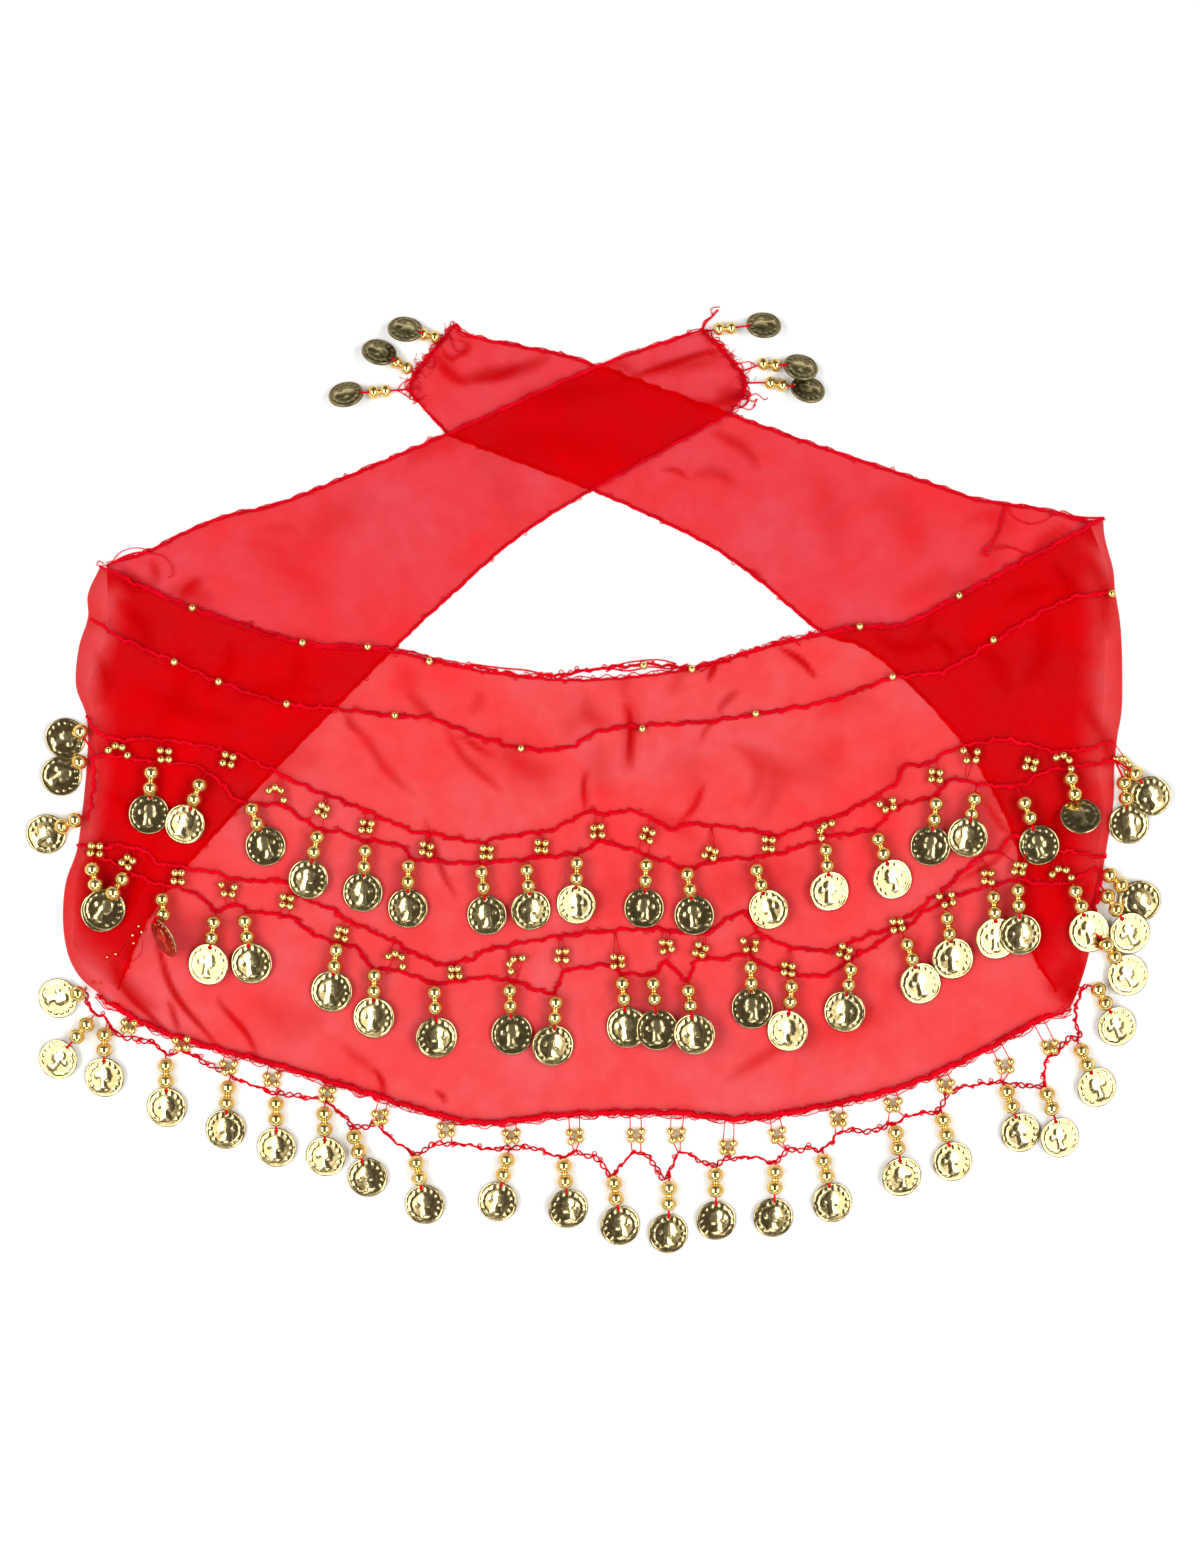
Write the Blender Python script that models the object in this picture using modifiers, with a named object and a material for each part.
"""Coin belt: a hip scarf of sheer red cloth with three rows of bead and coin pendants.

It lies flat. The front stretch is on top, and both ends are folded behind it and cross above the waist.
Places are read off a pattern grid of half-millimetre squares, x to the right and y down.
"""

import math
from collections import namedtuple

import bmesh
import bpy
from mathutils import Matrix, Vector
from mathutils.bvhtree import BVHTree

NAME = "coin_belt"
SQUARE = 0.0005
GRID_CENTRE = (598.0, 782.0)
UP = Vector((0, 0, 1))

# Cloth
WALL = 0.0010
CLEAR = 0.0003
TUCK = 15  # squares between a fold and the edge of the end that lies inside it
COVER_REACH = 0.019
RAMP_REACH = 0.028
BODY_COLUMNS, BODY_ROWS = 44, 12
TAIL_COLUMNS, TAIL_ROWS = 26, 4
BODY_LENGTH = 0.520

# Cords, beads and coins
STRING_RADIUS = 0.0011
TOP_RADIUS = 0.0010
HEM_RADIUS = 0.0016
TOP_INSET = 0.0016
HEM_INSET = 0.0023
THREAD_RADIUS = 0.0008
EYE_RADIUS = 0.0004
BEAD_RADIUS = 0.0035
BEAD_NECK = 0.0032
SECOND_BEAD = 0.345  # share of the way from the first bead to the coin's centre
BOTH_BEADS_FROM = 0.015  # a coin nearer than this to the first bead hides the second
COIN_RADIUS = 0.0100
COIN_THICK = 0.0009
COIN_PITCH = math.radians(7)
COIN_SIDES = 12
COIN_EYE = 0.0016  # from the coin's rim in to its hole
HANG = 12  # squares of thread between a string and the first bead
KNOT_DROP = 11  # squares from a bead cluster down to the lower string
LEAST_STEP = 0.0040

Ridge = namedtuple("Ridge", "x0 y0 x1 y1 height reach")
Pendant = namedtuple("Pendant", "bead_x bead_y coin_x coin_y roll", defaults=(0,))
Cluster = namedtuple("Cluster", "x y rise")
Row = namedtuple("Row", "ties pendants side_pendants clusters left_end right_end")

# Height of the cloth's underside at each distance in from a fold
FOLD_PROFILE = (
    (0.0, 0.0), (0.003, 0.0019), (0.008, 0.0032), (0.016, 0.0020), (0.024, WALL + CLEAR),
)

WAIST = (
    (100, 566), (193, 608), (303, 643), (391, 650), (482, 670), (580, 679), (690, 668),
    (779, 643), (859, 627), (902, 624), (957, 597), (1017, 564), (1103, 518),
)
HEM = (
    (97, 994), (145, 1023), (202, 1044), (279, 1065), (350, 1087), (445, 1116), (491, 1122),
    (568, 1114), (667, 1112), (735, 1118), (790, 1112), (896, 1088), (973, 1055),
    (1040, 1019), (1070, 1010),
)
LEFT_FOLD = (
    (88, 594), (79, 647), (76, 685), (87, 714), (88, 740), (86, 776), (78, 845), (66, 882),
    (63, 920), (68, 954), (80, 977),
)
RIGHT_FOLD = (
    (1105, 539), (1113, 569), (1115, 591), (1121, 633), (1122, 704), (1117, 738), (1113, 805),
    (1105, 857), (1096, 908), (1088, 957), (1076, 995),
)
LEFT_TAIL_UPPER = (
    (112, 563), (185, 533), (231, 515), (290, 500), (449, 434), (598, 367), (702, 330),
)
LEFT_TAIL_LOWER = (
    (106, 985), (152, 900), (252, 793), (394, 648), (453, 593), (516, 538), (590, 491), (730, 414),
)
LEFT_TAIL_END = ((727, 356), (745, 384))
RIGHT_TAIL_UPPER = (
    (456, 324), (473, 337), (557, 354), (598, 367), (730, 415), (819, 447), (939, 487),
    (979, 500), (1048, 511), (1090, 524),
)
RIGHT_TAIL_LOWER = (
    (418, 402), (449, 434), (600, 493), (702, 541), (758, 579), (822, 632), (869, 650),
    (933, 707), (985, 775), (1018, 850), (1026, 935), (1056, 992),
)
RIGHT_TAIL_END = ((416, 374), (411, 390))

# The largest soft creases, as straight ridges
BODY_RIDGES = (
    Ridge(431, 718, 570, 755, 0.0012, 0.013),
    Ridge(167, 952, 215, 1042, 0.0014, 0.013),
    Ridge(427, 818, 460, 896, 0.0010, 0.012),
    Ridge(683, 822, 705, 785, 0.0010, 0.012),
    Ridge(779, 643, 819, 677, 0.0010, 0.012),
    Ridge(990, 850, 1040, 826, 0.0012, 0.013),
)
TAIL_RIGHT_RIDGES = (Ridge(430, 385, 530, 375, 0.0012, 0.012),)
TAIL_LEFT_RIDGES = (Ridge(290, 560, 440, 480, 0.0012, 0.013),)

BEAD_LINE = (
    (92, 619), (122, 638), (176, 662), (220, 682), (287, 704), (338, 709), (395, 716),
    (431, 718), (474, 735), (521, 748), (567, 748), (608, 729), (705, 722), (756, 714),
    (828, 701), (892, 678), (943, 671), (992, 642), (1061, 602), (1111, 592),
)

ROW_1 = Row(
    ties=((92, 716), (1113, 740)),
    pendants=(
        Pendant(153, 773, 150, 814), Pendant(201, 785, 186, 824), Pendant(253, 809, 266, 846),
        Pendant(318, 837, 309, 879), Pendant(366, 851, 363, 892), Pendant(409, 866, 408, 908),
        Pendant(482, 872, 487, 915), Pendant(527, 870, 531, 910), Pendant(577, 863, 576, 904),
        Pendant(646, 865, 644, 908), Pendant(687, 874, 694, 915), Pendant(756, 870, 768, 909),
        Pendant(825, 850, 829, 891), Pendant(877, 839, 892, 879), Pendant(935, 804, 930, 846),
        Pendant(973, 799, 966, 837), Pendant(1023, 803, 1038, 845), Pendant(1069, 779, 1078, 816, 35),
    ),
    side_pendants=(
        Pendant(82, 732, 66, 738), Pendant(81, 762, 62, 776), Pendant(77, 820, 47, 834),
        Pendant(1123, 783, 1128, 824), Pendant(1134, 774, 1149, 796),
    ),
    clusters=(
        Cluster(119, 749, 11), Cluster(166, 755, 15), Cluster(229, 760, 8), Cluster(278, 791, 19),
        Cluster(323, 810, 17), Cluster(367, 826, 15), Cluster(426, 849, 17), Cluster(487, 852, 12),
        Cluster(542, 846, 15), Cluster(597, 831, 17), Cluster(647, 835, 18), Cluster(710, 853, 27),
        Cluster(768, 844, 10), Cluster(823, 830, 10), Cluster(888, 806, 19), Cluster(935, 776, 17),
        Cluster(970, 757, 11), Cluster(1029, 764, 19), Cluster(1064, 759, 7),
    ),
    left_end=((88, 820), (95, 790), (96, 756)),
    right_end=((1114, 762),),
)
ROW_2 = Row(
    ties=((82, 845), (1100, 852)),
    pendants=(
        Pendant(95, 869, 103, 911), Pendant(124, 879, 106, 909), Pendant(164, 899, 167, 937, 68),
        Pendant(215, 922, 209, 964), Pendant(246, 921, 252, 963), Pendant(337, 950, 332, 991),
        Pendant(375, 975, 374, 1017), Pendant(435, 992, 437, 1037), Pendant(510, 990, 512, 1034),
        Pendant(556, 1002, 553, 1045), Pendant(622, 983, 627, 1027), Pendant(653, 983, 657, 1029),
        Pendant(688, 990, 694, 1033), Pendant(750, 967, 752, 1008), Pendant(791, 986, 787, 1030),
        Pendant(850, 969, 844, 1011), Pendant(906, 944, 920, 983), Pendant(946, 918, 952, 958),
        Pendant(992, 897, 995, 938), Pendant(1016, 890, 1019, 934), Pendant(1073, 891, 1088, 931),
    ),
    side_pendants=(
        Pendant(1108, 875, 1139, 901), Pendant(1106, 896, 1129, 933), Pendant(1104, 944, 1127, 975),
    ),
    clusters=(
        Cluster(129, 862, 16), Cluster(179, 877, 10), Cluster(229, 891, 14), Cluster(287, 901, 18),
        Cluster(342, 933, 17), Cluster(397, 957, 14), Cluster(455, 972, 11), Cluster(513, 963, 18),
        Cluster(562, 955, 19), Cluster(618, 961, 30), Cluster(667, 946, 16), Cluster(700, 950, 18),
        Cluster(750, 946, 24), Cluster(788, 969, 23), Cluster(844, 951, 8), Cluster(897, 925, 6),
        Cluster(947, 900, 14), Cluster(987, 877, 22), Cluster(1018, 868, 32), Cluster(1060, 872, 26),
    ),
    left_end=(),
    right_end=((1098, 870), (1095, 890), (1087, 935)),
)
HEM_ROW = Row(
    ties=(),
    pendants=(
        Pendant(106, 1034, 105, 1077), Pendant(167, 1065, 167, 1107), Pendant(229, 1087, 226, 1129),
        Pendant(277, 1103, 277, 1147), Pendant(325, 1113, 326, 1156), Pendant(355, 1136, 368, 1177),
        Pendant(417, 1162, 425, 1204), Pendant(507, 1159, 498, 1201), Pendant(564, 1165, 568, 1208),
        Pendant(614, 1182, 620, 1225), Pendant(669, 1187, 668, 1233), Pendant(715, 1174, 716, 1220),
        Pendant(775, 1171, 773, 1217), Pendant(823, 1160, 832, 1202), Pendant(895, 1132, 901, 1176),
        Pendant(942, 1119, 952, 1161), Pendant(1006, 1091, 1020, 1132), Pendant(1046, 1093, 1059, 1137),
        Pendant(1080, 1050, 1096, 1087),
    ),
    side_pendants=(
        Pendant(79, 993, 59, 998), Pendant(88, 1024, 59, 1059), Pendant(1097, 989, 1116, 1026),
    ),
    clusters=(
        Cluster(130, 1027, 0), Cluster(183, 1045, 0), Cluster(230, 1068, 0), Cluster(273, 1080, 0),
        Cluster(328, 1095, 0), Cluster(381, 1118, 0), Cluster(447, 1131, 0), Cluster(512, 1137, 0),
        Cluster(576, 1137, 0), Cluster(636, 1136, 0), Cluster(677, 1136, 0), Cluster(728, 1148, 0),
        Cluster(778, 1136, 0), Cluster(839, 1120, 0), Cluster(893, 1106, 0), Cluster(945, 1087, 0),
        Cluster(1005, 1067, 0), Cluster(1050, 1048, 0),
    ),
    left_end=((88, 1008),),
    right_end=((1085, 1018), (1090, 1000)),
)
TAIL_RIGHT_PENDANTS = (
    Pendant(435, 338, 406, 331, 40), Pendant(407, 369, 380, 354, 40), Pendant(386, 392, 347, 396, 40),
)
TAIL_LEFT_PENDANTS = (
    Pendant(724, 330, 763, 327, 40), Pendant(763, 365, 800, 369, 40), Pendant(772, 385, 807, 391, 40),
)


def at(x, y):
    """A place on the pattern grid, in metres on the floor."""
    return Vector(((x - GRID_CENTRE[0]) * SQUARE, (GRID_CENTRE[1] - y) * SQUARE, 0))


def smooth(points, steps=8):
    """A smooth line through the points."""
    ends = [2 * points[0] - points[1], *points, 2 * points[-1] - points[-2]]
    line = []
    for a, b, c, d in zip(ends, ends[1:], ends[2:], ends[3:]):
        for k in range(steps):
            u = k / steps
            line.append(0.5 * (
                2 * b + (c - a) * u + (2 * a - 5 * b + 4 * c - d) * u**2
                + (3 * b - a - 3 * c + d) * u**3
            ))
    return line + [points[-1]]


def along(line, share):
    """The point at a share of the line's length."""
    lengths = [(b - a).length for a, b in zip(line, line[1:])]
    left = share * sum(lengths)
    for a, b, length in zip(line, line[1:], lengths):
        if left <= length:
            return a.lerp(b, left / length)
        left -= length
    return line[-1].copy()


def beside(spots, gap):
    """A line that follows the places, moved to its left by gap."""
    line = smooth([at(*spot) for spot in spots], 2)
    ways = [(b - a).normalized() for a, b in zip(line, line[1:])]
    return [point + UP.cross(way) * gap for point, way in zip(line, ways + ways[-1:])]


def patch_point(edges, s, t):
    """A point inside four edges: upper and lower run left to right, left and right run down."""
    upper, lower, left, right = edges
    down = along(upper, s).lerp(along(lower, s), t)
    across = along(left, t).lerp(along(right, t), s)
    first = upper[0].lerp(upper[-1], s)
    last = lower[0].lerp(lower[-1], s)
    return down + across - first.lerp(last, t)


def fold_height(distance):
    """Height of the cloth's underside near a fold, or None away from it."""
    for (d0, z0), (d1, z1) in zip(FOLD_PROFILE, FOLD_PROFILE[1:]):
        if distance < d1:
            return z0 + (z1 - z0) * (distance - d0) / (d1 - d0)
    return None


def ridge_height(point, ridges):
    """How far the creases lift the cloth."""
    lift = 0.0
    for ridge in ridges:
        a, b = at(ridge.x0, ridge.y0), at(ridge.x1, ridge.y1)
        share = max(0, min(1, (point - a).dot(b - a) / (b - a).length_squared))
        gap = (point - a.lerp(b, share)).length
        lift = max(lift, ridge.height * (1 - gap / ridge.reach))
    return lift


def ground(point, trees):
    """The top of what lies under a point."""
    top = 0.0
    for tree in trees:
        hit = tree.ray_cast(Vector((point.x, point.y, 1)), -UP)[0]
        if hit:
            top = max(top, hit.z)
    return top


def highest(point, reach, trees, rings=3, spokes=14):
    """The highest top of what lies within reach of the point."""
    top = ground(point, trees)
    for ring in range(1, rings + 1):
        for spoke in range(spokes):
            turn = Matrix.Rotation(math.tau * spoke / spokes, 3, "Z")
            top = max(top, ground(point + turn @ Vector((reach * ring / rings, 0, 0)), trees))
    return top


def drape(point, trees):
    """Height of a cloth's underside over what lies below it."""
    near = highest(point, COVER_REACH, trees)
    if near > 0:
        return near + CLEAR
    far = highest(point, RAMP_REACH, trees)
    return (far + CLEAR) / 2 if far > 0 else 0.0


def material(name, colour, roughness, metallic=0.0):
    made = bpy.data.materials.new(name)
    made.use_nodes = True
    shader = made.node_tree.nodes["Principled BSDF"]
    shader.inputs["Base Color"].default_value = (*colour, 1)
    shader.inputs["Roughness"].default_value = roughness
    shader.inputs["Metallic"].default_value = metallic
    return made


def collection(name):
    made = bpy.data.collections.new(name)
    bpy.context.scene.collection.children.link(made)
    return made


def keep(name, mesh, look, into):
    made = bpy.data.objects.new(name, mesh)
    mesh.materials.clear()
    mesh.materials.append(look)
    into.objects.link(made)
    return made


def tree_of(thing):
    bpy.context.view_layer.update()
    return BVHTree.FromObject(thing, bpy.context.evaluated_depsgraph_get())


def cloth(name, edges, columns, rows, height, look, into):
    """A panel between four edges, its underside at height(point, s)."""
    bm = bmesh.new()
    bmesh.ops.create_grid(bm, x_segments=len(columns) - 1, y_segments=rows, size=1)
    for vert in bm.verts:
        column = round((vert.co.x + 1) / 2 * (len(columns) - 1))
        s, t = columns[column], (1 - vert.co.y) / 2
        point = patch_point(edges, s, t)
        vert.co = point + UP * height(point, s)
    mesh = bpy.data.meshes.new(name)
    bm.to_mesh(mesh)
    bm.free()
    panel = keep(name, mesh, look, into)
    solid = panel.modifiers.new("wall", "SOLIDIFY")
    solid.thickness = WALL
    solid.offset = 1
    return panel


def even(count):
    return [k / count for k in range(count + 1)]


def body_columns():
    """Shares across the body, closer together at the two folds."""
    near = [distance / BODY_LENGTH for distance, _ in FOLD_PROFILE]
    inner = [near[-1] + (1 - 2 * near[-1]) * share for share in even(BODY_COLUMNS)]
    return near[:-1] + inner + [1 - share for share in reversed(near[:-1])]


def tubes(name, lines, resolution):
    """One mesh of tubes. Each line is a list of (point, radius)."""
    curve = bpy.data.curves.new(name, "CURVE")
    curve.dimensions = "3D"
    curve.bevel_depth = 1.0
    curve.bevel_resolution = resolution
    curve.use_fill_caps = True
    for line in lines:
        spline = curve.splines.new("POLY")
        spline.points.add(len(line) - 1)
        for target, (point, radius) in zip(spline.points, line):
            target.co = (*point, 1)
            target.radius = radius
    guide = bpy.data.objects.new(name, curve)
    bpy.context.scene.collection.objects.link(guide)
    bpy.context.view_layer.update()
    graph = bpy.context.evaluated_depsgraph_get()
    mesh = bpy.data.meshes.new_from_object(guide.evaluated_get(graph))
    bpy.data.objects.remove(guide)
    bm = bmesh.new()
    bm.from_mesh(mesh)
    bmesh.ops.remove_doubles(bm, verts=bm.verts, dist=1e-7)
    bmesh.ops.recalc_face_normals(bm, faces=bm.faces)
    bm.to_mesh(mesh)
    bm.free()
    return mesh


def laid(route, radius, trees, steps=7):
    """The route of a cord that rests just clear of what lies under it."""
    tops = []
    for a, b in zip(route, route[1:]):
        side = (b - a).normalized().cross(UP) * radius
        spots = [a.lerp(b, k / steps) + side * j for k in range(steps + 1) for j in (-1, 0, 1)]
        tops.append(max(ground(spot, trees) for spot in spots))
    heights = [max(tops[max(k - 1, 0)], tops[min(k, len(tops) - 1)]) for k in range(len(route))]
    return [point + UP * (z + CLEAR + radius) for point, z in zip(route, heights)]


def spaced(route):
    """The route without points that nearly meet."""
    kept = [route[0]]
    for point in route[1:]:
        if (point - kept[-1]).length > LEAST_STEP:
            kept.append(point)
    return kept


def hang_point(pendant):
    """Where a pendant leaves its string."""
    bead, coin = at(pendant.bead_x, pendant.bead_y), at(pendant.coin_x, pendant.coin_y)
    return bead - (coin - bead).normalized() * HANG * SQUARE


def lower_route(row):
    """The string that dips to each pendant and rises to each cluster."""
    knots = [at(c.x, c.y + KNOT_DROP) for c in row.clusters]
    middle = sorted(knots + [hang_point(p) for p in row.pendants], key=lambda p: p.x)
    left, right = ([at(*spot) for spot in end] for end in (row.left_end, row.right_end))
    return spaced(left + middle + right)


def upper_route(row):
    knots = [at(c.x, c.y - c.rise) for c in row.clusters]
    return [at(*row.ties[0]), *knots, at(*row.ties[1])]


def coin_axes(way, roll):
    """Across the coin, down the coin and out of its face."""
    down = way * math.cos(COIN_PITCH) - UP * math.sin(COIN_PITCH)
    across = Matrix.Rotation(math.radians(roll), 3, down) @ Vector((-way.y, way.x, 0))
    return across, down, down.cross(across)


def coin_seat(centre, axes, trees):
    """The coin's centre, lifted until its rim clears what lies under it."""
    across, down, face = axes
    lift = 0.0
    for k in range(COIN_SIDES * 3):
        angle = math.tau * k / (COIN_SIDES * 3)
        for share in (0, 0.2, 0.4, 0.6, 0.8, 1.0):
            rim = (across * math.cos(angle) + down * math.sin(angle)) * COIN_RADIUS * share
            under = ground(centre + rim, trees) + CLEAR + COIN_THICK / 2
            lift = max(lift, under - rim.z)
    return centre + UP * lift


def bead_seat(bead, trees):
    spots = [Matrix.Rotation(math.tau * k / 8, 3, "Z") @ Vector((BEAD_RADIUS, 0, 0)) for k in range(8)]
    top = max(ground(bead + spot, trees) for spot in [Vector(), *spots])
    return bead + UP * (top + CLEAR + BEAD_RADIUS)


def pendant_forms(pendant, anchors, trees):
    """The strand as (point, radius) stations, and the coin's matrix."""
    first, coin = at(pendant.bead_x, pendant.bead_y), at(pendant.coin_x, pendant.coin_y)
    way = (coin - first).normalized()
    root = min(anchors, key=lambda spot: (spot.xy - (first - way * HANG * SQUARE).xy).length)
    size = BEAD_RADIUS if (coin - first).length > BOTH_BEADS_FROM else THREAD_RADIUS
    second = bead_seat(first.lerp(coin, SECOND_BEAD), trees)
    first = bead_seat(first, trees)
    across, down, face = coin_axes(way, pendant.roll)
    centre = coin_seat(coin, (across, down, face), trees)
    eye = centre - down * (COIN_RADIUS - COIN_EYE)
    neck = first + (root - first).normalized() * BEAD_NECK
    strand = [
        (root, THREAD_RADIUS), (neck, THREAD_RADIUS), (first, BEAD_RADIUS),
        (first.lerp(second, 0.5), THREAD_RADIUS), (second, size), (eye, EYE_RADIUS),
    ]
    turn = Matrix((across, -down, face)).transposed().to_4x4()
    return strand, Matrix.Translation(centre) @ turn


def fringe(name, route, radius, pendants, threads, trees, look, into, cutters):
    """A backing string with its pendants and threads fused to it."""
    backing = laid(route, radius, trees)
    forms = [pendant_forms(p, backing, trees) for p in pendants]
    bm = bmesh.new()
    bm.from_mesh(tubes(name + "_strands", [strand for strand, _ in forms], 0))
    if threads:
        lines = [
            [(min(backing, key=lambda p: (p - a).length), THREAD_RADIUS), (b, THREAD_RADIUS)]
            for a, b in threads
        ]
        bm.from_mesh(tubes(name + "_threads", lines, 0))
    for _, place in forms:
        bmesh.ops.create_cone(
            bm, cap_ends=True, segments=COIN_SIDES, radius1=COIN_RADIUS, radius2=COIN_RADIUS,
            depth=COIN_THICK, matrix=place,
        )
    mesh = bpy.data.meshes.new(name + "_pendants")
    bm.to_mesh(mesh)
    bm.free()
    hung = keep(name + "_pendants", mesh, look, cutters)
    hung.hide_render = True
    hung.display_type = "WIRE"
    made = keep(name, tubes(name, [[(point, radius) for point in backing]], 0), look, into)
    union = made.modifiers.new("fused", "BOOLEAN")
    union.operation = "UNION"
    union.solver = "EXACT"
    union.use_self = True
    union.object = hung
    trees.append(tree_of(made))


def cord(name, route, radius, trees, look, into):
    """A cord that lies over what is already there."""
    line = [(point, radius) for point in laid(route, radius, trees)]
    trees.append(tree_of(keep(name, tubes(name, [line], 0), look, into)))


def hem_threads(hem):
    """Threads from each knot of the hem string up to the edging."""
    lines = []
    for cluster in HEM_ROW.clusters:
        knot = at(cluster.x, cluster.y + KNOT_DROP)
        near = min(hem, key=lambda spot: (spot - knot).length)
        out = (knot - near).normalized() * (HEM_RADIUS + 2 * CLEAR)
        lines.append((knot, near + out + UP * (CLEAR + THREAD_RADIUS)))
    return lines


def build_cloth(look, into):
    """The two ends and the front stretch, from the floor up."""
    waist = [at(x, y) - Vector((0, TOP_INSET, 0)) for x, y in WAIST]
    hem = [at(x, y) + Vector((0, HEM_INSET, 0)) for x, y in HEM]
    left, right = ([at(*spot) for spot in fold] for fold in (LEFT_FOLD, RIGHT_FOLD))

    def tail(name, upper, lower, end, fold, fold_is_left, ridges, below):
        inner = [at(x + (TUCK if fold_is_left else -TUCK), y) for x, y in fold]
        upper, lower = ([at(*spot) for spot in edge] for edge in (upper, lower))
        k = 0 if fold_is_left else -1
        tucked = [upper[k], *inner, lower[k]]
        free = [upper[-1 - k], *(at(*spot) for spot in end), lower[-1 - k]]
        sides = (tucked, free) if fold_is_left else (free, tucked)
        edges = [smooth(edge) for edge in (upper, lower, *sides)]

        def height(point, s):
            return drape(point, below) + ridge_height(point, ridges)

        return cloth(name, edges, even(TAIL_COLUMNS), TAIL_ROWS, height, look, into)

    tail_right = tail(
        "tail_right", RIGHT_TAIL_UPPER, RIGHT_TAIL_LOWER, RIGHT_TAIL_END, RIGHT_FOLD[1:-1],
        False, TAIL_RIGHT_RIDGES, [],
    )
    right_tree = tree_of(tail_right)
    tail_left = tail(
        "tail_left", LEFT_TAIL_UPPER, LEFT_TAIL_LOWER, LEFT_TAIL_END, LEFT_FOLD[1:-1],
        True, TAIL_LEFT_RIDGES, [right_tree],
    )
    below = [right_tree, tree_of(tail_left)]
    edges = [
        smooth(edge)
        for edge in (waist, hem, [waist[0], *left, hem[0]], [waist[-1], *right, hem[-1]])
    ]

    def height(point, s):
        near = fold_height(min(s, 1 - s) * BODY_LENGTH)
        if near is not None:
            return near
        return drape(point, below) + ridge_height(point, BODY_RIDGES)

    body = cloth("body_panel", edges, body_columns(), BODY_ROWS, height, look, into)
    return below + [tree_of(body)]


def main():
    for thing in list(bpy.data.objects):
        bpy.data.objects.remove(thing)
    parts, cutters = collection(NAME), collection(NAME + "_cutters")
    chiffon = material("red_chiffon", (0.80, 0.01, 0.02), 0.55)
    thread = material("red_crochet_thread", (0.62, 0.0, 0.015), 0.75)
    gold = material("gold_coins_and_beads", (0.78, 0.56, 0.16), 0.25, 1.0)

    trees = build_cloth(chiffon, parts)
    waist, hem = (smooth([at(*spot) for spot in edge], 3) for edge in (WAIST, HEM))
    cord("hem_edging", hem[1:-1], HEM_RADIUS, trees[:0], thread, parts)
    cord("top_edging", waist, TOP_RADIUS, trees, thread, parts)
    cord("bead_string", smooth([at(*spot) for spot in BEAD_LINE], 2), STRING_RADIUS, trees, thread, parts)
    for name, row in (("row_2", ROW_2), ("row_1", ROW_1)):
        cord(name + "_string", upper_route(row), STRING_RADIUS, trees, thread, parts)
    for name, row, threads in (
        ("hem_fringe", HEM_ROW, hem_threads(hem)), ("row_2_fringe", ROW_2, []), ("row_1_fringe", ROW_1, []),
    ):
        hung = row.pendants + row.side_pendants
        fringe(name, lower_route(row), STRING_RADIUS, hung, threads, trees, gold, parts, cutters)
    gap = THREAD_RADIUS + 2 * CLEAR
    for name, edge, aside, hung in (
        ("tail_right_fringe", (RIGHT_TAIL_UPPER[0], *RIGHT_TAIL_END), -gap, TAIL_RIGHT_PENDANTS),
        ("tail_left_fringe", (LEFT_TAIL_UPPER[-1], *LEFT_TAIL_END), gap, TAIL_LEFT_PENDANTS),
    ):
        fringe(name, beside(edge, aside), THREAD_RADIUS, hung, [], trees, gold, parts, cutters)


main()
